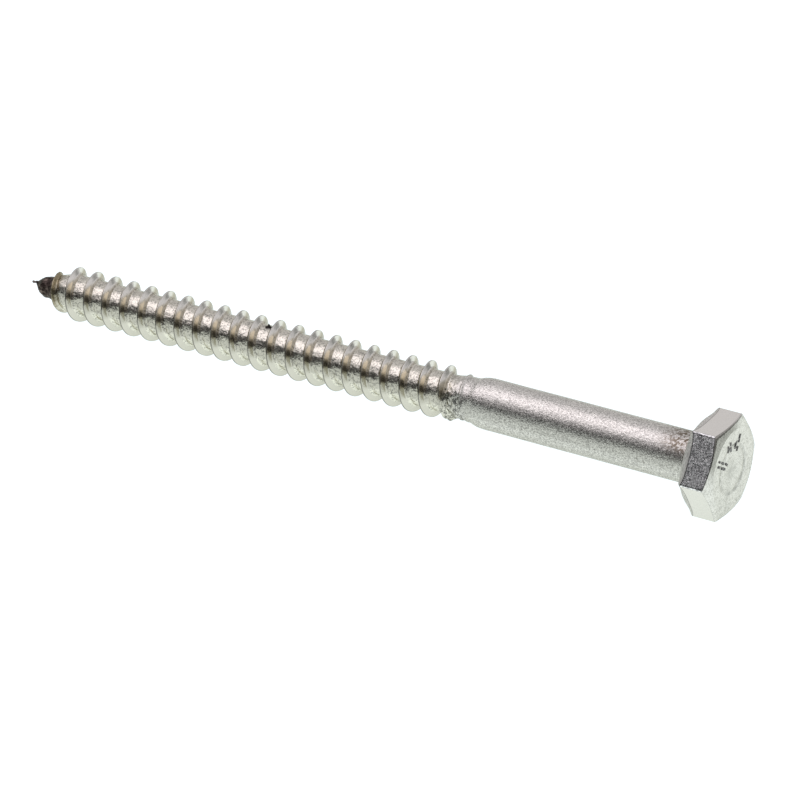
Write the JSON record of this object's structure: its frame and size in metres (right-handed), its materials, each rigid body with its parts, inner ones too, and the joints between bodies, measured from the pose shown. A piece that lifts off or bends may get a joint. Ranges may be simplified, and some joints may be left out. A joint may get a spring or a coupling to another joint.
{
  "type": "hex lag screw",
  "caption": "Hex head lag screw: plain shank, coarse wood thread with a thick core, and a cone point, in bare stainless steel.",
  "frame": {"origin": "centre of the bearing face under the head, on the screw's axis", "axes": "+X along the axis from the point out through the head, +Z square to a flat of the head, so a flat faces down"},
  "size_m": [0.0935, 0.0122, 0.0108],
  "materials": {
    "stainless_steel": "bare cold-formed stainless steel: satin shank with fine pits, brighter thread"
  },
  "bodies": {
    "root": {"lag_screw": "stainless_steel"}
  },
  "joints": []
}
